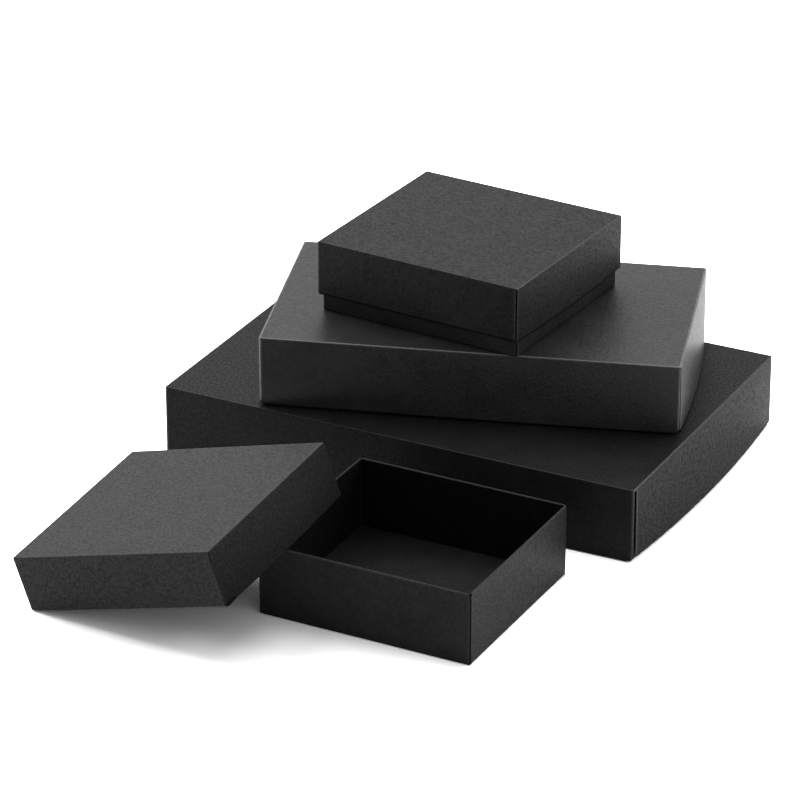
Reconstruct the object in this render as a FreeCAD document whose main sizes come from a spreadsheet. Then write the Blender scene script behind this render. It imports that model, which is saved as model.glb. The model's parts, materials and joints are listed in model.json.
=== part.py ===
import FreeCAD, Part
import Sketcher
import math
import os
import re

# A set of four gift boxes of matte black card in three sizes, each a base and a lift-off lid.
# Three closed boxes stand in a stack, and a second small box stands open in front of them, with its
# lid leaning on its left corner.
# Every base and lid is one card blank folded into a tray: a panel, four walls, inner walls rolled
# over the free edge, and corner flaps glued between the layers of the front and back walls.
# Millimetres, +Z up, origin under the middle of the large box, X along its width.

DOCUMENT_NAME = "gift_box_set"
PARTS_FOLDER = "parts"

# Driving dimensions: name, value and what it measures.
SIZES = [
    ("card", 0.45, "thickness of the card"),
    ("layer_play", 0.05, "air between two layers of a wall"),
    ("lid_play", 0.4, "clearance between a base and its lid, each side"),
    ("edge_gap", 0.25, "gap under the free edge of a lid that covers its whole base"),
    ("flap_length", 16, "length of a corner flap"),
    ("flap_setback", 0.15, "how far a corner flap starts inside the side wall's outer face"),
    ("base_corner_cut", 1, "mitre at the free corners of a base's walls"),
    ("large_width", 226.5, "large lid, outside, left to right"),
    ("large_depth", 151.5, "large lid, outside, front to back"),
    ("large_base_height", 33.7, "large base, underside to rim"),
    ("large_bow", 4, "outward bow of the large lid's side walls at the free edge"),
    ("large_corner_cut", 3, "mitre at the free corners of the large lid's walls"),
    ("medium_width", 184, "medium lid, outside, left to right"),
    ("medium_depth", 107.4, "medium lid, outside, front to back"),
    ("medium_base_height", 31.9, "medium base, underside to rim"),
    ("medium_bow", 2.8, "outward bow of the medium lid's side walls at the free edge"),
    ("medium_corner_cut", 1.5, "mitre at the free corners of the medium lid's walls"),
    ("small_width", 100.4, "small lid, outside, left to right"),
    ("small_depth", 93.8, "small lid, outside, front to back"),
    ("small_base_height", 32.6, "small base, underside to rim"),
    ("small_lid_height", 25, "small lid, top to free edge, shorter than its base"),
    ("small_bow", 1.5, "outward bow of the small lids' side walls at the free edge"),
    ("small_corner_cut", 0.8, "mitre at the free corners of the small lids' walls"),
    ("medium_shift_right", 4.8, "middle of the medium box, right of the large one's"),
    ("medium_shift_back", 5.4, "middle of the medium box, behind the large one's"),
    ("medium_turn_degrees", 17.4, "turn of the medium box on the large one"),
    ("small_shift_right", -4.1, "middle of the stacked small box, right of the large one's"),
    ("small_shift_back", 7.2, "middle of the stacked small box, behind the large one's"),
    ("small_turn_degrees", -4, "turn of the stacked small box"),
    ("open_shift_right", 42.8, "middle of the open base, right of the large one's"),
    ("open_gap", 20.4, "gap from the large lid's front to the open base's back"),
    ("open_turn_degrees", -0.6, "turn of the open base"),
    ("lean_reach", 13.4, "how far the leaning lid's right edge passes the open base's left corner"),
    ("lean_forward", 46.7, "how far the leaning lid's near end stands in front of the open base"),
    ("lean_turn_degrees", -3.5, "turn of the leaning lid, seen from above"),
    ("seat_gap", 0.1, "gap between the leaning lid and the rim that carries it"),
]

doc = FreeCAD.newDocument(DOCUMENT_NAME)
sheet = doc.addObject("Spreadsheet::Sheet", "sizes")
for row, (name, value, meaning) in enumerate(SIZES, start=1):
    sheet.set(f"A{row}", name)
    sheet.set(f"B{row}", str(value))
    sheet.setAlias(f"B{row}", name)
    sheet.set(f"C{row}", meaning)
doc.recompute()

# Wall thicknesses, in words of the sheet: the side walls have two layers of card, the front and
# back walls have the corner flaps between theirs.
SIDE_WALL = "(2 * card + layer_play)"
END_WALL = "(3 * card + 2 * layer_play)"
INNER_LAYER_OF_END = "(2 * card + 2 * layer_play)"
INNER_LAYER_OF_SIDE = "(card + layer_play)"
FLAP_LAYER = "(card + layer_play)"
PAST_FLAP = "(2 * card + layer_play)"

# A wall is drawn from its crease up and from its outer face in.
CREASE = "0"
OUTER_FACE = "0"

UPRIGHT = FreeCAD.Vector(0, 0, 1)
FRONT_TO_BACK = FreeCAD.Vector(0, 1, 0)

# Where the leaning lid crosses the rims follows from its tilt and the other way round, so the two
# are worked out in turn until they settle.
LEAN_ROUNDS = 40


def bound(text):
    """Turn a formula of size names into one that other objects can be bound to."""
    return re.sub(r"[a-z][a-z_]+", lambda word: "sizes." + word.group(0), text)


def number(text):
    """Work out a formula of size names as a plain number."""
    return float(sheet.evalExpression(bound(text)))


def turned(degrees, axis=UPRIGHT):
    """A placement that only turns."""
    return FreeCAD.Placement(FreeCAD.Vector(), FreeCAD.Rotation(axis, degrees))


def moved(x, y, z):
    """A placement that only shifts."""
    return FreeCAD.Placement(FreeCAD.Vector(x, y, z), FreeCAD.Rotation())


def origin_plane(body, role):
    """One of a body's own origin planes."""
    for feature in body.Origin.OriginFeatures:
        if feature.Role == role:
            return feature
    raise RuntimeError(f"{body.Label} has no {role}")


def strip_sketch(body, name, height, setback, run, thick, bow=None):
    """Draw the plan of a wall layer at one height: a straight strip, or one bowed outwards.

    The strip runs along X about the middle of the wall, with its outer edge at y = setback.
    """
    sketch = body.newObject("Sketcher::SketchObject", name)
    sketch.AttachmentSupport = [(origin_plane(body, "XY_Plane"), "")]
    sketch.MapMode = "FlatFace"
    sketch.setExpression(".AttachmentOffset.Base.y", bound(setback))
    sketch.setExpression(".AttachmentOffset.Base.z", bound(height))
    half = number(run) / 2
    deep = number(thick)
    corners = [FreeCAD.Vector(-half, 0), FreeCAD.Vector(half, 0)]
    corners += [FreeCAD.Vector(half, deep), FreeCAD.Vector(-half, deep)]

    def long_edge(first, last, bulge):
        """A straight or bowed edge between two corners."""
        if bow is None:
            return Part.LineSegment(first, last)
        middle = (first + last) / 2 - FreeCAD.Vector(0, bulge)
        return Part.Arc(first, middle, last)

    bulge = number(bow) if bow else 0
    outer = sketch.addGeometry(long_edge(corners[0], corners[1], bulge))
    right = sketch.addGeometry(Part.LineSegment(corners[1], corners[2]))
    inner = sketch.addGeometry(long_edge(corners[2], corners[3], bulge))
    left = sketch.addGeometry(Part.LineSegment(corners[3], corners[0]))

    # An arc always starts at the end from which it runs anticlockwise, so the ends are looked up.
    def end_at(edge, corner):
        """Which end of an edge lies at a corner."""
        return 1 if sketch.getPoint(edge, 1).distanceToPoint(corner) < deep / 2 else 2

    joined = [(outer, right, corners[1]), (right, inner, corners[2])]
    joined += [(inner, left, corners[3]), (left, outer, corners[0])]
    for first, second, corner in joined:
        ends = (first, end_at(first, corner), second, end_at(second, corner))
        sketch.addConstraint(Sketcher.Constraint("Coincident", *ends))
    outer_start = end_at(outer, corners[0])
    outer_end = end_at(outer, corners[1])
    sketch.addConstraint(Sketcher.Constraint("Symmetric", outer, outer_start, outer, outer_end, -2))
    sketch.addConstraint(Sketcher.Constraint("PointOnObject", outer, outer_start, -1))
    sketch.addConstraint(Sketcher.Constraint("Vertical", right))
    sketch.addConstraint(Sketcher.Constraint("Vertical", left))
    inner_ends = (inner, end_at(inner, corners[2]), inner, end_at(inner, corners[3]))
    sketch.addConstraint(Sketcher.Constraint("Horizontal", *inner_ends))
    run_at = sketch.addConstraint(
        Sketcher.Constraint("DistanceX", outer, outer_start, outer, outer_end, 2 * half))
    sketch.setExpression(f"Constraints[{run_at}]", bound(run))
    thick_at = sketch.addConstraint(Sketcher.Constraint("DistanceY", right, 1, right, 2, deep))
    sketch.setExpression(f"Constraints[{thick_at}]", bound(thick))
    if bow:
        radius = f"((({run}) * ({run}) / 4 + ({bow}) * ({bow})) / (2 * ({bow})))"
        sketch.addConstraint(Sketcher.Constraint("Equal", outer, inner))
        radius_at = sketch.addConstraint(Sketcher.Constraint("Radius", outer, number(radius)))
        sketch.setExpression(f"Constraints[{radius_at}]", bound(radius))
    return sketch


def add_loft(body, sections):
    """Join strips at rising heights with straight sides."""
    loft = body.newObject("PartDesign::AdditiveLoft", body.Label + "_sheet")
    loft.Profile = sections[0]
    loft.Sections = sections[1:]
    loft.Ruled = True
    loft.Closed = False


def make_wall(label, run, rise, thick, cut, bow, placement):
    """An outer wall with its rolled rim: a sheet with mitred free corners, and the fold on its edge.

    A bowed wall is straight at its crease and bowed most under the fold.
    """
    body = doc.addObject("PartDesign::Body", label)
    fold_foot = f"(({rise}) - card)"
    shoulder = f"(({rise}) - ({cut}))"
    shoulder_bow = f"(({bow}) * {shoulder} / {fold_foot})" if bow else None
    free_run = f"(({run}) - 2 * ({cut}))"
    levels = [(CREASE, run, None), (shoulder, run, shoulder_bow), (fold_foot, free_run, bow)]
    sections = []
    for level, (height, length, level_bow) in enumerate(levels):
        name = f"{label}_level_{level}"
        sections.append(strip_sketch(body, name, height, OUTER_FACE, length, "card", level_bow))
    add_loft(body, sections)
    fold = strip_sketch(body, label + "_fold", fold_foot, OUTER_FACE, free_run, thick, bow)
    pad = body.newObject("PartDesign::Pad", label + "_rim")
    pad.Profile = fold
    pad.setExpression("Length", bound("card"))
    body.Placement = placement
    return body


def make_inner_sheet(label, run, rise, setback, bow, placement):
    """The layer rolled over the rim, which stands inside the outer wall and under the fold."""
    top = f"(({rise}) - card)"
    if bow is None:
        box = doc.addObject("Part::Box", label)
        box.setExpression("Length", bound(run))
        box.setExpression("Width", bound("card"))
        box.setExpression("Height", bound(top))
        box.Placement = placement * moved(-number(run) / 2, number(setback), 0)
        return box
    body = doc.addObject("PartDesign::Body", label)
    low = strip_sketch(body, label + "_low", CREASE, setback, run, "card")
    high = strip_sketch(body, label + "_high", top, setback, run, "card", bow)
    add_loft(body, [low, high])
    body.Placement = placement
    return body


def make_flap(label, rise, cut, side, run, placement):
    """A corner flap between the layers of a front or back wall; side is -1 or 1 along the wall."""
    flap = doc.addObject("Part::Box", label)
    flap.setExpression("Length", bound("flap_length"))
    flap.setExpression("Width", bound("card"))
    flap.setExpression("Height", bound(f"(({rise}) - ({cut}) - card)"))
    outer_end = number(f"({run}) / 2 - flap_setback")
    start = outer_end - number("flap_length") if side > 0 else -outer_end
    flap.Placement = placement * moved(start, number(FLAP_LAYER), 0)
    return flap


def group(label, members):
    """Several like pieces kept under one name."""
    compound = doc.addObject("Part::Compound", label)
    compound.Links = members
    return compound


def make_tray(name, panel_name, width, depth, height, cut, bow, placement, upside_down):
    """Fold one tray: its panel, four walls, inner walls and corner flaps.

    The tray's placement is at the middle of its panel's outer face. A lid is upside down.
    """
    way = -1 if upside_down else 1
    card = number("card")
    rise = f"(({height}) - card)"
    panel = doc.addObject("Part::Box", f"{name}_{panel_name}")
    panel.setExpression("Length", bound(width))
    panel.setExpression("Width", bound(depth))
    panel.setExpression("Height", bound("card"))
    panel_foot = -card if upside_down else 0
    panel.Placement = placement * moved(-number(width) / 2, -number(depth) / 2, panel_foot)

    side_run = f"(({depth}) - 2 * {PAST_FLAP})"
    walls = [
        ("front", 0, depth, width, END_WALL, None, INNER_LAYER_OF_END),
        ("right", 90, width, side_run, SIDE_WALL, bow, INNER_LAYER_OF_SIDE),
        ("back", 180, depth, width, END_WALL, None, INNER_LAYER_OF_END),
        ("left", 270, width, side_run, SIDE_WALL, bow, INNER_LAYER_OF_SIDE),
    ]
    nodes = [panel]
    inner_sheets = []
    flaps = []
    for side, angle, across, run, thick, wall_bow, setback in walls:
        spot = placement * turned(angle) * moved(0, -number(across) / 2, way * card)
        if upside_down:
            spot = spot * turned(180, FRONT_TO_BACK)
        nodes.append(make_wall(f"{name}_{side}_wall", run, rise, thick, cut, wall_bow, spot))
        if thick == END_WALL:
            inner_run = f"(({run}) - 2 * ({cut}) - 2 * card)"
        else:
            inner_run = f"(({depth}) - 2 * ({END_WALL} + layer_play) - 2 * ({cut}))"
        sheet_name = f"{name}_{side}_inner_wall"
        inner_sheets.append(make_inner_sheet(sheet_name, inner_run, rise, setback, wall_bow, spot))
        if thick == END_WALL:
            for hand, flap_side in (("left", -1), ("right", 1)):
                flap_name = f"{name}_{side}_{hand}_flap"
                flaps.append(make_flap(flap_name, rise, cut, flap_side, run, spot))
    nodes.append(group(f"{name}_inner_walls", inner_sheets))
    nodes.append(group(f"{name}_corner_flaps", flaps))
    return nodes


def base_width(box):
    """Outside width of a base that fits inside its lid."""
    return f"({box}_width - 2 * ({SIDE_WALL} + lid_play))"


def base_depth(box):
    """Outside depth of a base that fits inside its lid."""
    return f"({box}_depth - 2 * ({END_WALL} + lid_play))"


def full_lid_height(box):
    """Height of a lid whose free edge reaches down to what its box stands on."""
    return f"({box}_base_height + card - edge_gap)"


def lean_placement(open_spot):
    """Where the taken-off lid rests: one corner on the ground, two of its edges on the open rim.

    Its right edge lies on the front rim of the open base and its back edge on the left rim. Along
    and across are measured on the plane of the lid's free edges, from the corner on the ground.
    """
    width = number("small_width")
    depth = number("small_depth")
    rim = number("small_base_height + seat_gap")
    half_base = FreeCAD.Vector(-number(base_width("small")) / 2, -number(base_depth("small")) / 2, 0)
    corner = open_spot.multVec(half_base)
    base_right = open_spot.Rotation.multVec(FreeCAD.Vector(1, 0, 0))
    turn = math.radians(number("lean_turn_degrees"))
    ahead = FreeCAD.Vector(math.cos(turn), math.sin(turn), 0)
    aside = FreeCAD.Vector(-math.sin(turn), math.cos(turn), 0)

    front_across = number("lean_forward")
    bowed_out = number("small_bow") * (1 - (2 * front_across / depth - 1) ** 2)
    front_along = width - number(SIDE_WALL) + bowed_out
    back_across = depth - number(END_WALL)
    back_along = width - number("lean_reach")
    on_front_rim = corner + base_right * number("lean_reach")
    for _ in range(LEAN_ROUNDS):
        area = front_along * back_across - back_along * front_across
        rise = rim * (back_across - front_across) / area
        tip = rim * (front_along - back_along) / area
        level = math.sqrt(1 - rise ** 2)
        skew = -rise * tip / level
        square = math.sqrt(1 - tip ** 2 - skew ** 2)
        lid_right = ahead * level + FreeCAD.Vector(0, 0, rise)
        lid_back = ahead * skew + aside * square + FreeCAD.Vector(0, 0, tip)
        foot = on_front_rim - lid_right * front_along - lid_back * front_across
        behind = foot - corner + lid_back * back_across
        back_along = -behind.dot(base_right) / lid_right.dot(base_right)
    foot.z = 0
    lid_up = lid_right.cross(lid_back)
    middle = foot + lid_right * (width / 2) + lid_back * (depth / 2) + lid_up * number("small_lid_height")
    return FreeCAD.Placement(middle, FreeCAD.Rotation(lid_right, lid_back, lid_up, "XYZ"))


def make_box_set():
    """Fold all eight trays and stand them where they belong."""
    large_top = number("large_base_height + card")
    medium_top = large_top + number("medium_base_height + card")
    small_top = medium_top + number("small_base_height + card")
    medium_plan = moved(number("medium_shift_right"), number("medium_shift_back"), 0)
    medium_plan = medium_plan * turned(number("medium_turn_degrees"))
    small_plan = moved(number("small_shift_right"), number("small_shift_back"), 0)
    small_plan = small_plan * turned(number("small_turn_degrees"))
    open_back = number(f"large_depth / 2 + open_gap + {base_depth('small')} / 2")
    open_spot = moved(number("open_shift_right"), -open_back, 0) * turned(number("open_turn_degrees"))

    stands = [
        ("large", "large", moved(0, 0, 0), moved(0, 0, large_top)),
        ("medium", "medium", moved(0, 0, large_top) * medium_plan, moved(0, 0, medium_top) * medium_plan),
        ("small", "small", moved(0, 0, medium_top) * small_plan, moved(0, 0, small_top) * small_plan),
        ("open", "small", open_spot, lean_placement(open_spot)),
    ]
    nodes = []
    for name, size, base_spot, lid_spot in stands:
        base_height = f"{size}_base_height"
        lid_height = "small_lid_height" if size == "small" else full_lid_height(size)
        nodes += make_tray(f"{name}_base", "floor", base_width(size), base_depth(size), base_height,
                           "base_corner_cut", None, base_spot, False)
        nodes += make_tray(f"{name}_lid", "top", f"{size}_width", f"{size}_depth", lid_height,
                           f"{size}_corner_cut", f"{size}_bow", lid_spot, True)
    return nodes


nodes = make_box_set()
doc.recompute()

for item in doc.Objects:
    if "Invalid" in item.State or "Error" in item.State:
        raise RuntimeError(f"{item.Label} did not build")
for node in nodes:
    if node.Shape.isNull() or not node.Shape.isValid():
        raise RuntimeError(f"{node.Label} has no valid shape")

os.makedirs(PARTS_FOLDER, exist_ok=True)
for node in nodes:
    node.Shape.exportStep(os.path.join(PARTS_FOLDER, node.Label + ".step"))
print(len(nodes), "pieces written")
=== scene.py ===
import json
import math

import bmesh
import bpy
from bpy.props import FloatProperty, FloatVectorProperty, PointerProperty
from mathutils import Matrix, Vector

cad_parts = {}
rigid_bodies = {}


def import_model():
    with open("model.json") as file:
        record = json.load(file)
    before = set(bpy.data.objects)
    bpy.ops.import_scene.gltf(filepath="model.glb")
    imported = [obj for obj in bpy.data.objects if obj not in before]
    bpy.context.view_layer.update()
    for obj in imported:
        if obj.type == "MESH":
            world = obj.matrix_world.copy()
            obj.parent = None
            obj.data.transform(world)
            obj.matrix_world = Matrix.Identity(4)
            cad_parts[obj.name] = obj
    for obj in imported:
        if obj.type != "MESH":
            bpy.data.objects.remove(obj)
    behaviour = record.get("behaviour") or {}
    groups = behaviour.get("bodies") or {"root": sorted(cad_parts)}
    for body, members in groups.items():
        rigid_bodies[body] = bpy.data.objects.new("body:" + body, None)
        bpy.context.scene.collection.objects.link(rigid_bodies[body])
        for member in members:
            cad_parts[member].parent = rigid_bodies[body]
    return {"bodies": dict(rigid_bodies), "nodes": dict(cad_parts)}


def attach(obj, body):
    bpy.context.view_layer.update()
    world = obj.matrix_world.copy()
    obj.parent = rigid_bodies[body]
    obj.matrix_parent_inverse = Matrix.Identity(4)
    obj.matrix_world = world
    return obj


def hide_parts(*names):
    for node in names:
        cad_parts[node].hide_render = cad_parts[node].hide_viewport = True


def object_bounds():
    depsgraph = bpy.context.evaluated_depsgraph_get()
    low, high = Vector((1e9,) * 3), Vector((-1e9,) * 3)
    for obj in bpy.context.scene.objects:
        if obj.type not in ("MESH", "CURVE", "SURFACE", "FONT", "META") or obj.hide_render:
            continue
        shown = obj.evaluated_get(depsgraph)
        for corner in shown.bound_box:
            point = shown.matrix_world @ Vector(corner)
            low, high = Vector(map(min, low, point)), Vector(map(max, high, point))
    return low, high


bl_info = {
    "name": "Folded gift boxes",
    "version": (1, 0, 0),
    "blender": (4, 5, 0),
    "location": "3D View > Sidebar > Gift boxes",
    "description": "Folds a set of black card gift boxes around their measured frame",
    "category": "Object",
}

# The start-up scene's own objects go first, so that only the frame is there.
for leftover in list(bpy.data.objects):
    bpy.data.objects.remove(leftover)
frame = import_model()
CAD_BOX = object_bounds()

MM = 0.001
SIDES = ("front", "back", "left", "right")
END_WALLS = ("front", "back")
# Values that differ between trays come in fives: large, medium, small and leaning lids, then bases.
# The corner cuts come in tens: five for the near corner, then five for the other three.
KINDS = ("large lid", "medium lid", "small lid", "leaning lid", "bases")
KIND_OF_LID = {"large_lid": 0, "medium_lid": 1, "small_lid": 2, "open_lid": 3}
BASE = 4
NEAR_CORNER = {"front", "right"}

# An even number of columns puts one line of points up the middle of a wall.
COLUMNS = 24
ROWS = 8
ROUNDING_STEPS = 5
RIM_STEPS = 10
CURL_STEPS = 4
# Straight card below the rounding of a crease, before the wall's own piece starts.
CREASE_SKIRT = 0.1 * MM
LAYER_PLAY = 0.05 * MM
# An inner wall stops at least this far before its outer wall starts to curl, and narrows to its free edge.
INNER_WALL_SETBACK = 0.4 * MM
INNER_WALL_TAPER = math.tan(math.radians(2))
# Width of the strip of a panel along its creases, which holds all of their wear and painted highlight.
CREASE_BORDER = 1.2 * MM
# A line this far from a fold keeps the flat card beside it flat to look at.
FOLD_MARGIN = 0.15 * MM
# Radius of a flap's turn round the near corner, and the length of the card that goes round it.
FLAP_BEND = 0.3 * MM
FLAP_RETURN = 6 * MM
# The distance that stands for "no edge of that sort near here".
FAR_AWAY = 1.0
EDGE_DISTANCES = "edge_distances"
SAME_PLACE = 1e-6
# Faces that meet at a sharper turn than this keep a hard line between them.
SHARP_TURN = math.radians(35)

# Noise swings about this value.
NOISE_MIDDLE = 0.5
# How the card's three sorts of grain move its tone between black and its palest flecks.
MIDDLE_TONE = 0.33
MOTTLE_TONE = 0.3
PULP_TONE = 0.15
TOOTH_TONE = 0.35
# The palest flecks, in red, green and blue, as multiples of the card's own black.
PALEST = (3, 3, 3.05)
# How far grain and wear move the card's roughness.
TOOTH_ROUGHNESS = 0.3
MOTTLE_ROUGHNESS = 0.12
WORN_ROUGHNESS = 0.15
# Wear and the painted crease highlight are this strong where there is least pulp, and gain this much
# towards where there is most.
LEAST_WEAR = 0.6
PULP_WEAR = 0.8
# How strongly the card's body and the shining spots of its tooth bend light.
CARD_IOR = 1.4
TOOTH_IOR = 1.2

# The floor reaches this far from the middle, and lies a hair below the boxes.
FLOOR_REACH = 1.5
FLOOR_DROP = 0.02 * MM
# Share of the floor's whitening that shows in the card's gloss.
MIRRORED_WHITENING = 0.2
# In millimetres, as the camera's lens is.
SENSOR_WIDTH = 36
LAMP_TARGET = (0, -0.05, 0.04)
# For each lamp: the property with its power, its place, its width and whether the card mirrors it.
LAMPS = {
    "left lamp": ("left_power", (-1.7, 0.3, 0.9), 1.2, False),
    "right lamp": ("right_power", (1.2, 1.2, 0.9), 1.2, False),
    "back left lamp": ("back_left_power", (-1.0, 1.0, 1.3), 1.2, True),
    "top lamp": ("top_power", (0, 0.6, 1.7), 1.4, True),
    "high left lamp": ("left_high_power", (-1.2, 0, 1.5), 1.0, False),
}


def length_sizes(name, description, *millimetres):
    """A property that holds one length for each kind of tray, or for each kind and corner."""
    return FloatVectorProperty(
        name=name, description=description, size=len(millimetres), unit="LENGTH", precision=5,
        default=[size * MM for size in millimetres],
    )


def turn_sizes(name, description, *degrees):
    """A property that holds one angle for each kind of tray."""
    return FloatVectorProperty(
        name=name, description=description, size=len(degrees), unit="ROTATION",
        default=[math.radians(turn) for turn in degrees],
    )


def tray_values(name, description, *values):
    """A property that holds one share for each kind of tray."""
    return FloatVectorProperty(
        name=name, description=description, size=len(values), min=0, max=1, precision=4, default=values,
    )


def one_length(name, description, millimetres):
    """A property that holds one length for all trays."""
    return FloatProperty(
        name=name, description=description, unit="LENGTH", precision=5, default=millimetres * MM,
    )


def one_share(name, description, value):
    """A property that holds one share for all trays."""
    return FloatProperty(
        name=name, description=description, subtype="FACTOR", min=0, max=1, default=value,
    )


def lamp_power(name, description, watts):
    """A property that holds the power of one lamp."""
    return FloatProperty(name=name, description=description, unit="POWER", min=0, default=watts)


class GiftBoxFolds(bpy.types.PropertyGroup):
    """Sizes of the folds."""

    crease_radius: length_sizes(
        "Crease radius", "Outside rounding where a wall folds down from its panel",
        0.35, 0.5, 0.25, 0.3, 0.75,
    )
    end_wall_bow: length_sizes(
        "End wall bow", "How far the front and back walls swell out at the middle of their free edge",
        0.8, 1.0, 0.4, 0.4, 0.0,
    )
    end_wall_lift: length_sizes(
        "End wall lift", "How far the free edge of a front or back wall stays back from its full height",
        0.0, 0.7, 0.0, 0.0, 0.0,
    )
    side_wall_lift: length_sizes(
        "Side wall lift", "How far the free edge of a left or right wall stays back from its full height",
        1.4, 0.8, 0.0, 0.0, 0.0,
    )
    end_corner_cut: length_sizes(
        "End wall corner cut", "Slanted cut at the free corner of a front or back wall",
        3.4, 1.5, 0.6, 0.4, 0.8, 2.0, 1.5, 0.6, 0.4, 0.8,
    )
    side_corner_cut: length_sizes(
        "Side wall corner cut", "Slanted cut at the free corner of a left or right wall",
        0.5, 1.0, 0.6, 0.4, 0.8, 1.5, 1.0, 0.6, 0.4, 0.8,
    )
    end_wall_inset: length_sizes(
        "End wall inset", "How far the front wall stops short of the near corner",
        0.1, 0.1, 0.9, 0.5, 0.35,
    )
    end_curl_radius: length_sizes(
        "End wall curl radius", "Radius to which the front wall curls in at the near corner",
        1.9, 0.7, 0.4, 0.4, 0.5,
    )
    end_curl_turn: turn_sizes(
        "End wall curl", "Angle through which the front wall curls in at the near corner",
        55, 50, 25, 25, 45,
    )
    side_wall_inset: length_sizes(
        "Side wall inset", "How far the right wall stops short of the near corner",
        3.0, 2.5, 0.1, 0.1, 0.95,
    )
    side_curl_radius: length_sizes(
        "Side wall curl radius", "Radius to which the right wall curls in at the near corner",
        0.4, 0.4, 0.5, 0.5, 0.4,
    )
    side_curl_turn: turn_sizes(
        "Side wall curl", "Angle through which the right wall curls in at the near corner",
        10, 10, 50, 50, 10,
    )
    corner_radius: length_sizes(
        "Corner radius", "Rounding of the three corners that are not the near one",
        1.2, 1.2, 0.5, 0.5, 1.0,
    )
    # The worn crease line is partly painted highlight; on some trays it is narrower on the front and back
    # creases than on the side ones, which catch more light.
    end_crease_share: tray_values(
        "End crease share", "Width of the worn line on the front and back creases, against the side ones",
        0.2, 1.0, 0.2, 1.0, 1.0,
    )
    flap_length: one_length("Flap length", "Length of a glued corner flap", 16)
    flap_taper: one_length("Flap taper", "Slanted cut at the two free corners of a flap", 3)


class GiftBoxCard(bpy.types.PropertyGroup):
    """Colours and grain of the card."""

    # Each tray's black was matched to how light falls on that tray where it stands, so it is partly the
    # card's own tone and partly painted light and shade.
    outside_black_and_painted_light: tray_values(
        "Outside", "Share of light that the card's outer layers scatter",
        0.0124, 0.0190, 0.0114, 0.0050, 0.0175,
    )
    outside_gloss: tray_values(
        "Outside gloss", "Specular level of the card's outer layers",
        0.042, 0.32, 0.072, 0.15, 0.05,
    )
    # Painted shade: the inner layers are the same card as the outer ones, made darker to stand for the
    # shade inside the boxes.
    inside_black_and_painted_shade: one_share("Inside", "Share of light that the card's inner layers scatter", 0.006)
    inside_gloss: one_share("Inside gloss", "Specular level of the card's inner layers", 0.08)
    # This grey shows bare fibre, and along the creases it also serves as a painted highlight.
    wear_and_highlight_colour: FloatVectorProperty(
        name="Worn", description="Grey of bare fibre at creases, rims and cut ends",
        subtype="COLOR", size=3, min=0, max=1, default=(0.16, 0.16, 0.161),
    )
    roughness: one_share("Roughness", "Roughness of the card's plain surface", 0.43)
    tooth: one_length("Tooth", "Size of the fine grain of the card's surface", 1.1)
    mottle: one_length("Mottle", "Size of the cloudy patches in the card's black", 14)
    pulp: one_length("Pulp", "Size of the small flecks in the card's black", 2.2)
    tooth_height: one_length("Tooth height", "How far the fine grain stands up", 0.12)
    tooth_shine: tray_values(
        "Tooth shine", "How much of the card's surface shines, on the whole",
        0.44, 0.5, 0.5, 0.55, 0.5,
    )
    tooth_contrast: FloatVectorProperty(
        name="Tooth contrast", description="How sharply the grain's shining spots stand out",
        size=len(KINDS), min=0, default=(2.7, 4.2, 3.0, 3.8, 2.7),
    )
    # Partly real wear and partly painted highlight along the creases.
    crease_wear_and_highlight: tray_values(
        "Crease wear", "How much bare fibre shows along the creases",
        0.65, 1.0, 0.36, 0.15, 0.0,
    )
    rim_wear: tray_values(
        "Rim wear", "How much bare fibre shows along the rolled rims",
        0.0, 0.0, 0.0, 0.0, 0.15,
    )
    # Painted shade: darkens the card and lowers its shine along the rolled rims, standing in for the
    # shadow under a lid's overhang.
    painted_rim_shade: tray_values(
        "Rim shade", "How dark the card is in the fold of its rolled rims",
        0.0, 0.0, 0.9, 0.0, 0.0,
    )
    cut_wear: tray_values(
        "Cut wear", "How much bare fibre shows along the cut ends",
        0.55, 0.8, 0.2, 0.04, 0.1,
    )
    # Width of the painted shade along a rolled rim.
    painted_rim_shade_width: one_length("Rim shade width", "Width of the dark line along a rolled rim", 0.9)
    # Covers the worn line and the painted highlight along a crease.
    crease_wear_and_highlight_width: one_length(
        "Crease wear width", "Half the width of the worn line along a crease", 0.6,
    )
    rim_wear_width: one_length("Rim wear width", "Width of the worn line along a rolled rim", 0.25)
    cut_wear_width: one_length("Cut wear width", "Width of the bare line along a cut end", 1.4)


class GiftBoxStage(bpy.types.PropertyGroup):
    """Floor, camera and light."""

    camera_place: FloatVectorProperty(
        name="Camera place", description="Where the camera stands",
        subtype="TRANSLATION", size=3, unit="LENGTH", default=(0.7586, -1.56516, 0.85099),
    )
    camera_turn: FloatVectorProperty(
        name="Camera turn", description="How the camera is turned",
        subtype="EULER", size=3, unit="ROTATION",
        default=(math.radians(64.45777), 0, math.radians(26.89476)),
    )
    camera_lens: FloatProperty(
        name="Camera lens", description="Focal length in millimetres on a 36 mm wide sensor",
        default=194.77, min=1,
    )
    floor_colour: FloatVectorProperty(
        name="Floor", description="Colour of the floor",
        subtype="COLOR", size=3, min=0, max=1, default=(0.95, 0.95, 0.95),
    )
    floor_whitening: FloatProperty(
        name="Floor whitening", min=1, default=2.85,
        description="How much whiter the floor looks than the light that it gives back",
    )
    sky_strength: FloatProperty(
        name="Sky", description="Light from all round",
        default=0.293, min=0,
    )
    left_power: lamp_power("Left lamp", "Power of the soft lamp on the left", 40.6)
    right_power: lamp_power("Right lamp", "Power of the soft lamp behind and to the right", 21)
    back_left_power: lamp_power("Back left lamp", "Power of the high lamp behind and to the left", 2.6)
    top_power: lamp_power("Top lamp", "Power of the lamp above and behind", 7.7)
    left_high_power: lamp_power("High left lamp", "Power of the high lamp on the left", 12)


def points(node):
    """The places of a CAD node's points."""
    return [vertex.co for vertex in frame["nodes"][node].data.vertices]


def middle(node):
    """The mean place of a CAD node's points."""
    places = points(node)
    return sum(places, Vector()) / len(places)


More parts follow.
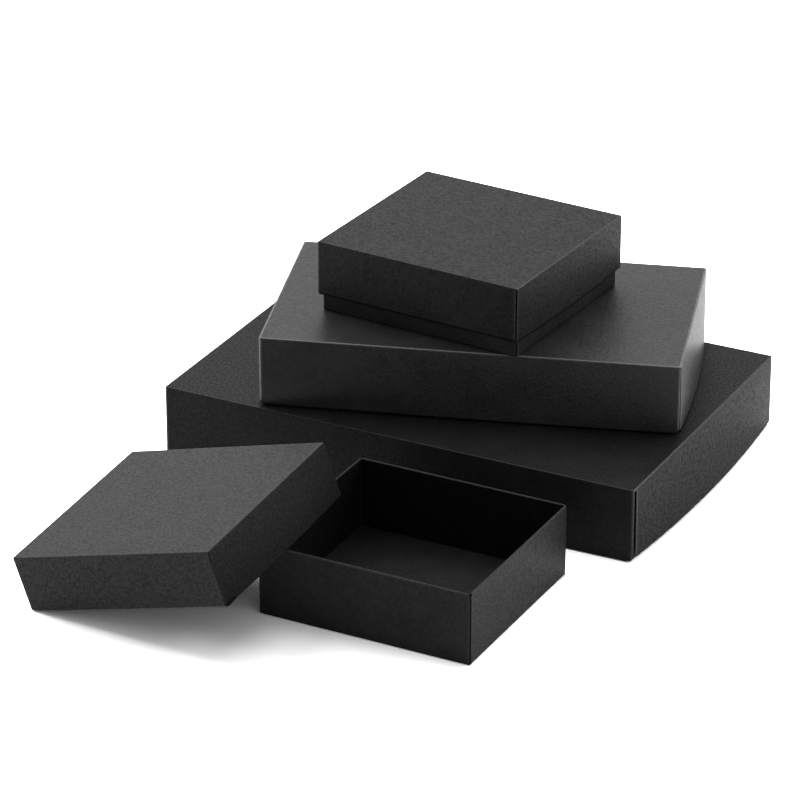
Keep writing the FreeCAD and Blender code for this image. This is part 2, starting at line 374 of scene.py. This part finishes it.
def reach(node, way):
    """How far a CAD node reaches along a direction, at its near and its far end."""
    along = [place.dot(way) for place in points(node)]
    return min(along), max(along)


def facing(node, way):
    """The direction that a flat panel's own face looks in, nearest to a rough direction."""
    return max((face.normal for face in frame["nodes"][node].data.polygons), key=way.dot).copy()


class Tray:
    """One folded base or lid: its directions, place and sizes, read from its CAD nodes.

    A wall is made in its own directions, x along it, y into the box and z from the panel to the free
    edge, with the middle of its crease at the origin."""

    def __init__(self, name):
        self.name = name
        self.kind = KIND_OF_LID.get(name, BASE)
        self.panel = f"{name}_floor" if self.kind == BASE else f"{name}_top"
        right = facing(self.panel, middle(self.wall("right")) - middle(self.wall("left")))
        back = facing(self.panel, middle(self.wall("back")) - middle(self.wall("front")))
        self.right = right
        self.rise = right.cross(back) * (1 if self.kind == BASE else -1)
        self.outward = {"front": -back, "back": back, "left": -right, "right": right}
        left_end, right_end = reach(self.panel, right)
        front_end, back_end = reach(self.panel, back)
        outer_face, inner_face = reach(self.panel, self.rise)
        self.width = right_end - left_end
        self.depth = back_end - front_end
        self.card = inner_face - outer_face
        self.height = reach(self.wall("front"), self.rise)[1] - outer_face
        self.centre = (
            right * (left_end + right_end) / 2
            + back * (front_end + back_end) / 2
            + self.rise * outer_face
        )
        # The three layers of a front or back wall are pressed as thin as the two of a side wall.
        self.thickness = reach(self.wall("left"), right)[1] - left_end

    def wall(self, side):
        """The CAD node of one outer wall."""
        return f"{self.name}_{side}_wall"

    def half_run(self, side):
        """Half the length of the crease that a wall folds from."""
        return (self.width if side in END_WALLS else self.depth) / 2

    def half_span(self, side):
        """How far a wall's crease stands from the middle of the panel."""
        return (self.depth if side in END_WALLS else self.width) / 2

    def meets(self, side, end):
        """The wall at one end of a wall's run; end is 1 or -1."""
        along = self.rise.cross(self.outward[side]) * end
        return max(SIDES, key=lambda other: self.outward[other].dot(along))

    def is_near(self, side, end):
        """Whether the corner at one end of a wall is the near one."""
        return {side, self.meets(side, end)} == NEAR_CORNER

    def corner(self, side, end):
        """Where the sizes of the corner at one end of a wall stand in a property of ten."""
        return self.kind if self.is_near(side, end) else self.kind + len(KINDS)

    def layer(self, side):
        """The thickness of one layer in a wall: three lie in a front or back wall, two in the others."""
        return (self.thickness + LAYER_PLAY) / (3 if side in END_WALLS else 2) - LAYER_PLAY

    def bow(self, side):
        """How far the CAD wall swells out beyond its crease."""
        way = self.outward[side]
        return max(0, reach(self.wall(side), way)[1] - self.centre.dot(way) - self.half_span(side))

    def wall_place(self, side):
        """The matrix that puts a wall made in its own directions in its place."""
        inward = -self.outward[side]
        turn = Matrix((inward.cross(self.rise), inward, self.rise)).transposed().to_4x4()
        return Matrix.Translation(self.centre - inward * self.half_span(side)) @ turn

    def panel_place(self):
        """The matrix that puts a panel made with its outer face up in its place."""
        out = -self.rise
        turn = Matrix((self.right, out.cross(self.right), out)).transposed().to_4x4()
        return Matrix.Translation(self.centre) @ turn


TRAYS = [Tray(name) for name in sorted(frame["bodies"])]


def card_sheet(bm, start, stop, low, high, facing_out, depth=0):
    """Adds a flat upright sheet that looks out of the box, or into it."""
    quarter = math.pi / 2 if facing_out else -math.pi / 2
    place = (
        Matrix.Translation(((start + stop) / 2, depth, (low + high) / 2))
        @ Matrix.Rotation(quarter, 4, "X")
        @ Matrix.Diagonal((stop - start, high - low, 1, 1))
    )
    bmesh.ops.create_grid(bm, x_segments=COLUMNS, y_segments=ROWS, size=0.5, matrix=place)


def cut_away(bm, place, outward):
    """Cuts off what lies beyond a plane."""
    bmesh.ops.bisect_plane(
        bm, geom=bm.verts[:] + bm.edges[:] + bm.faces[:], dist=SAME_PLACE,
        plane_co=place, plane_no=outward, clear_outer=True,
    )


def score(bm, place, across):
    """Adds a line of points across a sheet."""
    bmesh.ops.bisect_plane(
        bm, geom=bm.verts[:] + bm.edges[:] + bm.faces[:], dist=SAME_PLACE,
        plane_co=place, plane_no=across,
    )


def curl_end(bm, end, start, length, turn):
    """Curls the card beyond a line into the box, in equal small folds; end is 1 or -1."""
    step = length / CURL_STEPS
    lines = [start + step * fold for fold in range(CURL_STEPS)]
    for line in lines:
        score(bm, (end * line, 0, 0), (1, 0, 0))
    for line in reversed(lines):
        bmesh.ops.rotate(
            bm, cent=(end * line, 0, 0),
            matrix=Matrix.Rotation(end * turn / CURL_STEPS, 3, "Z"),
            verts=[vert for vert in bm.verts if end * vert.co.x > line + SAME_PLACE],
        )


def roll_rim(bm, lip, radius):
    """Rolls the card over at the lip, into the box."""
    lip_edges = [
        edge for edge in bm.edges if all(abs(vert.co.z - lip) < SAME_PLACE for vert in edge.verts)
    ]
    bmesh.ops.spin(
        bm, geom=lip_edges + list(dict.fromkeys(vert for edge in lip_edges for vert in edge.verts)),
        cent=(0, radius, lip), axis=(1, 0, 0), angle=-math.pi, steps=RIM_STEPS, use_merge=False,
    )


def swell(bm, bow, half_run, foot, lip):
    """Bows a wall out between its ends, from nothing at the crease to all of it at the free edge."""
    for vert in bm.verts:
        across = max(0, 1 - (vert.co.x / half_run) ** 2)
        up = min(1, max(0, (vert.co.z - foot) / (lip - foot)))
        vert.co.y -= bow * across * up


def note_distances(bm, measure):
    """Keeps, for each point, how far it is from a cut end, a crease and a rim."""
    layer = bm.verts.layers.float_vector.new(EDGE_DISTANCES)
    for vert in bm.verts:
        vert[layer] = measure(vert.co)


def thicken(bm, card):
    """Gives a sheet the thickness of the card, on the side away from where it looks."""
    bmesh.ops.solidify(bm, geom=bm.faces[:], thickness=card)


def into_place(bm, place):
    """Moves a finished shape from its own directions to its place."""
    bmesh.ops.transform(bm, matrix=place, space=Matrix.Identity(4), verts=bm.verts[:])
    return bm


def gathered(shapes):
    """One shape from several."""
    whole = bmesh.new()
    for shape in shapes:
        carrier = bpy.data.meshes.new("carrier")
        shape.to_mesh(carrier)
        shape.free()
        whole.from_mesh(carrier)
        bpy.data.meshes.remove(carrier)
    return whole


def add_piece(bm, tray, node, material):
    """Makes a finished shape a piece that stands for its CAD node and moves with its tray."""
    mesh = bpy.data.meshes.new(f"{node}.card")
    bm.to_mesh(mesh)
    bm.free()
    mesh.materials.append(material)
    mesh.shade_smooth()
    mesh.set_sharp_from_angle(angle=SHARP_TURN)
    piece = bpy.data.objects.new(f"{node}.card", mesh)
    bpy.context.scene.collection.objects.link(piece)
    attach(piece, tray.name)
    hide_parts(node)


def round_off(bm, edges, radius):
    """Rounds edges to a radius."""
    bmesh.ops.bevel(
        bm, geom=edges, offset=radius, offset_type="OFFSET", affect="EDGES",
        segments=ROUNDING_STEPS, profile=0.5, material=-1,
    )


def panel_shape(tray, folds):
    """The top of a lid or the floor of a base, with its four rounded creases."""
    radius = folds.crease_radius[tray.kind]
    skirt = radius + CREASE_SKIRT
    bm = bmesh.new()
    block = Matrix.Translation((0, 0, -skirt / 2)) @ Matrix.Diagonal((tray.width, tray.depth, skirt, 1))
    bmesh.ops.create_cube(bm, size=1, matrix=block)
    underside = [face for face in bm.faces if face.normal.z < -0.5]
    bmesh.ops.delete(bm, geom=underside, context="FACES")
    turn = tray.panel_place().to_3x3()

    def nearness(edge):
        """How far a corner's edge lies towards the near corner."""
        place = turn @ edge.verts[0].co
        return sum(tray.outward[side].dot(place) for side in NEAR_CORNER)

    corners = [edge for edge in bm.edges if abs(edge.verts[0].co.z - edge.verts[1].co.z) > SAME_PLACE]
    corners.remove(max(corners, key=nearness))
    round_off(bm, corners, folds.corner_radius[tray.kind])
    flat = max(bm.faces, key=lambda face: face.calc_area())
    round_off(bm, list(flat.edges), radius)
    flat = max(bm.faces, key=lambda face: face.calc_area())
    bmesh.ops.inset_region(bm, faces=[flat], thickness=FOLD_MARGIN, use_even_offset=True)
    half_width, half_depth = tray.width / 2, tray.depth / 2
    for half, across in ((half_width, Vector((1, 0, 0))), (half_depth, Vector((0, 1, 0)))):
        for line in (radius + CREASE_BORDER - half, 0, half - radius - CREASE_BORDER):
            score(bm, across * line, across)

    def to_bend(place):
        """How far a point is from where its card starts to bend, drawn out beside creases with a narrower
        line of wear and painted highlight.
        """
        to_side = abs(half_width - abs(place.x) - radius)
        to_end = abs(half_depth - abs(place.y) - radius)
        return min(to_side, to_end / folds.end_crease_share[tray.kind])

    note_distances(bm, lambda place: (FAR_AWAY, to_bend(place), FAR_AWAY))
    thicken(bm, tray.card)
    return into_place(bm, tray.panel_place())


def wall_end(tray, side, end, folds):
    """Where a wall's flat card stops at one end, and the length and turn of the curl beyond that."""
    if not tray.is_near(side, end):
        radius = folds.corner_radius[tray.kind]
        return tray.half_run(side) - radius, radius * math.pi / 4, math.pi / 4
    if side in END_WALLS:
        sizes = (folds.end_wall_inset, folds.end_curl_radius, folds.end_curl_turn)
    else:
        sizes = (folds.side_wall_inset, folds.side_curl_radius, folds.side_curl_turn)
    inset, radius, turn = (size[tray.kind] for size in sizes)
    return tray.half_run(side) - inset - radius * math.sin(turn), radius * turn, turn


def lip_height(tray, side, folds):
    """Where a wall's card starts to roll over at its free edge."""
    lift = folds.end_wall_lift if side in END_WALLS else folds.side_wall_lift
    return tray.height - tray.thickness / 2 - lift[tray.kind]


def wall_bow(tray, side, folds):
    """How far a wall swells out at its free edge."""
    return folds.end_wall_bow[tray.kind] if side in END_WALLS else tray.bow(side)


def outer_wall_shape(tray, side, folds):
    """An outer wall with its curled ends, slanted free corners and rolled rim."""
    foot = folds.crease_radius[tray.kind] + CREASE_SKIRT
    lip = lip_height(tray, side, folds)
    cuts = folds.end_corner_cut if side in END_WALLS else folds.side_corner_cut
    ends = {end: wall_end(tray, side, end, folds) for end in (-1, 1)}
    stops = {end: end * (flat + curl) for end, (flat, curl, _) in ends.items()}
    half = (stops[1] - stops[-1]) / 2
    mid = (stops[1] + stops[-1]) / 2
    bm = bmesh.new()
    card_sheet(bm, stops[-1], stops[1], foot, lip, facing_out=True)
    for end, stop in stops.items():
        cut_away(bm, (stop, 0, lip - cuts[tray.corner(side, end)]), (end, 0, 1))
    note_distances(bm, lambda place: (half - abs(place.x - mid), FAR_AWAY, lip - place.z))
    score(bm, (0, 0, lip - FOLD_MARGIN), (0, 0, 1))
    roll_rim(bm, lip, tray.thickness / 2)
    for end, (flat, curl, turn) in ends.items():
        score(bm, (end * (flat - FOLD_MARGIN), 0, 0), (1, 0, 0))
        curl_end(bm, end, flat, curl, turn)
    swell(bm, wall_bow(tray, side, folds), tray.half_run(side), foot, lip)
    thicken(bm, tray.layer(side))
    return into_place(bm, tray.wall_place(side))


def inner_wall_shape(tray, side, folds):
    """The layer that hangs inside an outer wall from its rolled rim."""
    lip = lip_height(tray, side, folds)
    low = tray.card + LAYER_PLAY
    foot = folds.crease_radius[tray.kind] + CREASE_SKIRT
    stops = {}
    for end in (-1, 1):
        if side in END_WALLS:
            stop = tray.half_run(side) - tray.thickness
        else:
            flat = wall_end(tray, side, end, folds)[0]
            stop = min(flat - INNER_WALL_SETBACK, tray.half_run(side) - tray.thickness - LAYER_PLAY)
        stops[end] = end * stop
    half = (stops[1] - stops[-1]) / 2
    mid = (stops[1] + stops[-1]) / 2
    bm = bmesh.new()
    card_sheet(bm, stops[-1], stops[1], low, lip, facing_out=False, depth=tray.thickness)
    for end, stop in stops.items():
        cut_away(bm, (stop, 0, lip), (end, 0, -INNER_WALL_TAPER))
    note_distances(bm, lambda place: (half - abs(place.x - mid), FAR_AWAY, lip - place.z))
    swell(bm, wall_bow(tray, side, folds), tray.half_run(side), foot, lip)
    thicken(bm, tray.layer(side))
    return into_place(bm, tray.wall_place(side))


def corner_flap_shape(tray, side, end, folds):
    """A flap glued behind a front or back wall; end is 1 or -1.

    At the near corner, where the walls leave a slot, it also turns the corner and closes that slot."""
    lip = lip_height(tray, side, folds)
    low = folds.crease_radius[tray.kind] + CREASE_SKIRT
    layer = tray.layer(side)
    near = tray.is_near(side, end)
    if near:
        inset = tray.thickness + LAYER_PLAY + FLAP_BEND
    else:
        inset = max(tray.card + LAYER_PLAY, folds.corner_radius[tray.kind])
    fold = tray.half_run(side) - inset
    free = fold - folds.flap_length
    last = fold + FLAP_RETURN if near else fold
    bm = bmesh.new()
    card_sheet(bm, *sorted((end * free, end * last)), low, lip, facing_out=True)
    cut_away(bm, (end * free, 0, lip - folds.flap_taper), (-end, 0, 1))
    cut_away(bm, (end * free, 0, low + folds.flap_taper), (-end, 0, -1))
    if near:
        curl_end(bm, end, fold, FLAP_BEND * math.pi / 2, math.pi / 2)
    note_distances(bm, lambda place: (FAR_AWAY, FAR_AWAY, FAR_AWAY))
    bmesh.ops.translate(bm, vec=(0, layer + LAYER_PLAY, 0), verts=bm.verts[:])
    swell(bm, wall_bow(tray, side, folds), tray.half_run(side), low, lip)
    thicken(bm, layer)
    return into_place(bm, tray.wall_place(side))


class Field:
    """A number, colour or vector that varies over a surface, kept as a node's output socket."""

    def __init__(self, finish, socket):
        self.finish = finish
        self.socket = socket

    def maths(self, operation, first, second):
        """A number worked out from two by a Math node."""
        return self.finish.node("ShaderNodeMath", {"operation": operation}, {0: first, 1: second})

    def __add__(self, other):
        return self.maths("ADD", self, other)

    __radd__ = __add__

    def __sub__(self, other):
        return self.maths("SUBTRACT", self, other)

    def __rsub__(self, other):
        return self.maths("SUBTRACT", other, self)

    def __mul__(self, other):
        return self.maths("MULTIPLY", self, other)

    __rmul__ = __mul__


class Finish:
    """The nodes of one material or world."""

    def __init__(self, owner):
        owner.use_nodes = True
        self.tree = owner.node_tree
        self.tree.nodes.clear()

    def node(self, kind, settings=None, sockets=None, output=0):
        """Adds a node, sets it up, then gives its sockets their values or links."""
        node = self.tree.nodes.new(kind)
        for setting, value in (settings or {}).items():
            setattr(node, setting, value)
        for name, value in (sockets or {}).items():
            if isinstance(value, Field):
                self.tree.links.new(value.socket, node.inputs[name])
            else:
                node.inputs[name].default_value = value
        return Field(self, node.outputs[output]) if node.outputs else None

    def fade(self, distance, width):
        """1 at a distance of nothing and 0 from a width on, with a smooth slope between."""
        return self.node(
            "ShaderNodeMapRange", {"interpolation_type": "SMOOTHSTEP"},
            {"Value": distance, "From Min": 0, "From Max": width, "To Min": 1, "To Max": 0},
        )

    def mix(self, share, first, second):
        """A colour between two colours."""
        ends = {0: share, 6: first, 7: second}
        return self.node("ShaderNodeMix", {"data_type": "RGBA"}, ends, output=2)

    def rays(self, *kinds):
        """1 for rays of the kinds named, and 0 for all others."""
        paths = self.node("ShaderNodeLightPath").socket.node.outputs
        return sum(Field(self, paths[f"Is {kind} Ray"]) for kind in kinds)

    def noise(self, place, size, detail=2, roughness=0.5):
        """Even noise with patches of about one size."""
        return self.node(
            "ShaderNodeTexNoise", None,
            {"Vector": place, "Scale": 1 / size, "Detail": detail, "Roughness": roughness},
        )


def card_material(
    name, black, gloss, shine, contrast, crease_wear_and_highlight=0, rim_wear=0, painted_rim_shade=0, cut_wear=0,
):
    """Uncoated black card: fine tooth, cloudy black, bare fibre where it is folded, rolled or cut, a pale
    crease line that is partly wear and partly painted highlight, and painted shade along rolled rims.
    """
    card = bpy.context.scene.gift_box_card
    material = bpy.data.materials.new(name)
    finish = Finish(material)
    place = finish.node("ShaderNodeTexCoord", output="Object")
    edges = finish.node("ShaderNodeAttribute", {"attribute_name": EDGE_DISTANCES}, output="Vector")
    apart = finish.node("ShaderNodeSeparateXYZ", None, {"Vector": edges}).socket.node.outputs
    to_cut, to_crease, to_rim = (Field(finish, apart[axis]) for axis in ("X", "Y", "Z"))

    tooth = finish.noise(place, card.tooth, detail=1, roughness=0.6)
    mottle = finish.noise(place, card.mottle, detail=3, roughness=0.55)
    pulp = finish.noise(place, card.pulp, detail=2)
    # Bare fibre at cut ends and rims; along the creases the pale line is partly wear and partly painted
    # highlight.
    wear_and_crease_highlight = (
        finish.fade(to_cut, card.cut_wear_width) * cut_wear
        + finish.fade(to_crease, card.crease_wear_and_highlight_width) * crease_wear_and_highlight
        + finish.fade(to_rim, card.rim_wear_width) * rim_wear
    ) * (pulp * PULP_WEAR + LEAST_WEAR)

    # Painted shade: tone and shine are lowered along the rolled rims, where the shadow under a lid's rim
    # falls.
    painted_shade_factor = 1 - finish.fade(to_rim, card.painted_rim_shade_width) * painted_rim_shade
    shade = (
        (mottle - NOISE_MIDDLE) * MOTTLE_TONE + (pulp - NOISE_MIDDLE) * PULP_TONE
        - (tooth - NOISE_MIDDLE) * TOOTH_TONE + MIDDLE_TONE
    ) * painted_shade_factor
    dark = (0, 0, 0, 1)
    light = tuple(part * black for part in PALEST) + (1,)
    colour = finish.mix(wear_and_crease_highlight, finish.mix(shade, dark, light), tuple(card.wear_and_highlight_colour) + (1,))
    roughness = (
        (tooth - NOISE_MIDDLE) * TOOTH_ROUGHNESS + (mottle - NOISE_MIDDLE) * MOTTLE_ROUGHNESS
        + wear_and_crease_highlight * WORN_ROUGHNESS + card.roughness
    )
    bump = finish.node(
        "ShaderNodeBump", None, {"Strength": 1, "Distance": card.tooth_height, "Height": tooth},
    )
    # The painted rim shade lowers the shine of the tooth as well.
    spots = ((tooth - NOISE_MIDDLE) * contrast + shine) * painted_shade_factor
    surface = finish.node(
        "ShaderNodeBsdfPrincipled", None,
        {
            "Base Color": colour, "Roughness": roughness, "Normal": bump,
            "IOR": CARD_IOR, "Specular IOR Level": gloss,
            "Coat Weight": finish.node("ShaderNodeClamp", None, {"Value": spots}),
            "Coat IOR": TOOTH_IOR, "Coat Roughness": card.roughness,
        },
    )
    finish.node("ShaderNodeOutputMaterial", None, {"Surface": surface})
    return material


def outside_card(tray):
    """The card of a tray's outer layers, made once for each kind of tray."""
    name = f"black card of the {KINDS[tray.kind]}"
    card = bpy.context.scene.gift_box_card
    values = (
        # The per-tray blacks are partly painted light and shade.
        card.outside_black_and_painted_light, card.outside_gloss, card.tooth_shine, card.tooth_contrast,
        card.crease_wear_and_highlight, card.rim_wear, card.painted_rim_shade, card.cut_wear,
    )
    return bpy.data.materials.get(name) or card_material(name, *(value[tray.kind] for value in values))


def inside_card():
    """The card of the layers inside the walls, made once."""
    name = "black card inside"
    card = bpy.context.scene.gift_box_card
    # The inner layers' darker black is painted shade.
    values = (card.inside_black_and_painted_shade, card.inside_gloss, card.tooth_shine[BASE], card.tooth_contrast[BASE])
    return bpy.data.materials.get(name) or card_material(name, *values)


class FoldPanels(bpy.types.Operator):
    """Make the tops of the lids and the floors of the bases"""

    bl_idname = "gift_box.fold_panels"
    bl_label = "Fold panels"

    def execute(self, context):
        for tray in TRAYS:
            shape = panel_shape(tray, context.scene.gift_box_folds)
            add_piece(shape, tray, tray.panel, outside_card(tray))
        return {"FINISHED"}


class FoldOuterWalls(bpy.types.Operator):
    """Make the outer walls with their rolled rims"""

    bl_idname = "gift_box.fold_outer_walls"
    bl_label = "Fold outer walls"

    def execute(self, context):
        for tray in TRAYS:
            for side in SIDES:
                shape = outer_wall_shape(tray, side, context.scene.gift_box_folds)
                add_piece(shape, tray, tray.wall(side), outside_card(tray))
        return {"FINISHED"}


class FoldInnerWalls(bpy.types.Operator):
    """Make the layers that hang inside the outer walls"""

    bl_idname = "gift_box.fold_inner_walls"
    bl_label = "Fold inner walls"

    def execute(self, context):
        folds = context.scene.gift_box_folds
        for tray in TRAYS:
            shape = gathered([inner_wall_shape(tray, side, folds) for side in SIDES])
            add_piece(shape, tray, f"{tray.name}_inner_walls", inside_card())
        return {"FINISHED"}


class GlueCornerFlaps(bpy.types.Operator):
    """Make the glued flaps inside the front and back walls"""

    bl_idname = "gift_box.glue_corner_flaps"
    bl_label = "Glue corner flaps"

    def execute(self, context):
        folds = context.scene.gift_box_folds
        for tray in TRAYS:
            shape = gathered(
                [corner_flap_shape(tray, side, end, folds) for side in END_WALLS for end in (-1, 1)]
            )
            add_piece(shape, tray, f"{tray.name}_corner_flaps", inside_card())
        return {"FINISHED"}


def floor_material(colour, whitening):
    """Matt white paper, whiter to look at than the light that it gives back to the boxes."""
    material = bpy.data.materials.new("white floor")
    finish = Finish(material)
    plain = tuple(colour) + (1,)
    whiter = tuple(whitening * part for part in colour) + (1,)
    seen = finish.rays("Camera") + finish.rays("Glossy", "Transmission") * MIRRORED_WHITENING
    surface = finish.node("ShaderNodeBsdfDiffuse", None, {"Color": finish.mix(seen, plain, whiter)})
    finish.node("ShaderNodeOutputMaterial", None, {"Surface": surface})
    return material


def white_surroundings(strength):
    """A world that is white to look at and gives a weaker even light."""
    world = bpy.data.worlds.new("white surroundings")
    finish = Finish(world)
    level = finish.rays("Camera", "Glossy", "Transmission") * (1 - strength) + strength
    background = finish.node("ShaderNodeBackground", None, {"Color": (1, 1, 1, 1), "Strength": level})
    finish.node("ShaderNodeOutputWorld", None, {"Surface": background})
    return world


def add_lamp(name, power, place, width, glare):
    """A soft square lamp that looks at the boxes and isn't seen itself, nor in the card without glare."""
    lamp = bpy.data.lights.new(name, "AREA")
    lamp.shape = "SQUARE"
    lamp.size = width
    lamp.energy = power
    holder = bpy.data.objects.new(name, lamp)
    holder.location = place
    holder.rotation_euler = (Vector(LAMP_TARGET) - Vector(place)).to_track_quat("-Z", "Y").to_euler()
    holder.visible_camera = False
    holder.visible_glossy = glare
    bpy.context.scene.collection.objects.link(holder)


class SetStage(bpy.types.Operator):
    """Set up the floor, the light and the camera"""

    bl_idname = "gift_box.set_stage"
    bl_label = "Set stage"

    def execute(self, context):
        scene = context.scene
        stage = scene.gift_box_stage
        bm = bmesh.new()
        bmesh.ops.create_grid(bm, x_segments=1, y_segments=1, size=FLOOR_REACH)
        bmesh.ops.translate(bm, vec=(0, 0, CAD_BOX[0].z - FLOOR_DROP), verts=bm.verts[:])
        mesh = bpy.data.meshes.new("floor")
        bm.to_mesh(mesh)
        bm.free()
        mesh.materials.append(floor_material(stage.floor_colour, stage.floor_whitening))
        floor = bpy.data.objects.new("floor", mesh)
        scene.collection.objects.link(floor)

        scene.world = white_surroundings(stage.sky_strength)
        for name, (power, place, width, glare) in LAMPS.items():
            add_lamp(name, getattr(stage, power), place, width, glare)

        camera = bpy.data.cameras.new("camera")
        camera.lens = stage.camera_lens
        camera.sensor_width = SENSOR_WIDTH
        holder = bpy.data.objects.new("camera", camera)
        holder.location = stage.camera_place
        holder.rotation_euler = stage.camera_turn
        scene.collection.objects.link(holder)
        scene.camera = holder
        scene.view_settings.view_transform = "Standard"
        return {"FINISHED"}


class GiftBoxPanel(bpy.types.Panel):
    """The gift boxes' sizes, colours and steps"""

    bl_idname = "VIEW3D_PT_gift_boxes"
    bl_label = "Gift boxes"
    bl_space_type = "VIEW_3D"
    bl_region_type = "UI"
    bl_category = "Gift boxes"

    def draw(self, context):
        scene = context.scene
        for group in (scene.gift_box_folds, scene.gift_box_card, scene.gift_box_stage):
            box = self.layout.box()
            for name in group.__annotations__:
                box.prop(group, name)
        for step in STEPS:
            self.layout.operator(step.bl_idname)


STEPS = (SetStage, FoldPanels, FoldOuterWalls, FoldInnerWalls, GlueCornerFlaps)
GROUPS = {"gift_box_folds": GiftBoxFolds, "gift_box_card": GiftBoxCard, "gift_box_stage": GiftBoxStage}


def register():
    """Makes the groups of values, the steps and the panel known to Blender."""
    for name, group in GROUPS.items():
        bpy.utils.register_class(group)
        setattr(bpy.types.Scene, name, PointerProperty(type=group))
    for shown in (*STEPS, GiftBoxPanel):
        bpy.utils.register_class(shown)


def unregister():
    """Takes them away again, in the opposite order."""
    for shown in (GiftBoxPanel, *reversed(STEPS)):
        bpy.utils.unregister_class(shown)
    for name, group in reversed(GROUPS.items()):
        delattr(bpy.types.Scene, name)
        bpy.utils.unregister_class(group)


def main():
    """Builds the stage and the boxes."""
    register()
    bpy.ops.gift_box.set_stage()
    bpy.ops.gift_box.fold_panels()
    bpy.ops.gift_box.fold_outer_walls()
    bpy.ops.gift_box.fold_inner_walls()
    bpy.ops.gift_box.glue_corner_flaps()


if __name__ == "__main__":
    main()
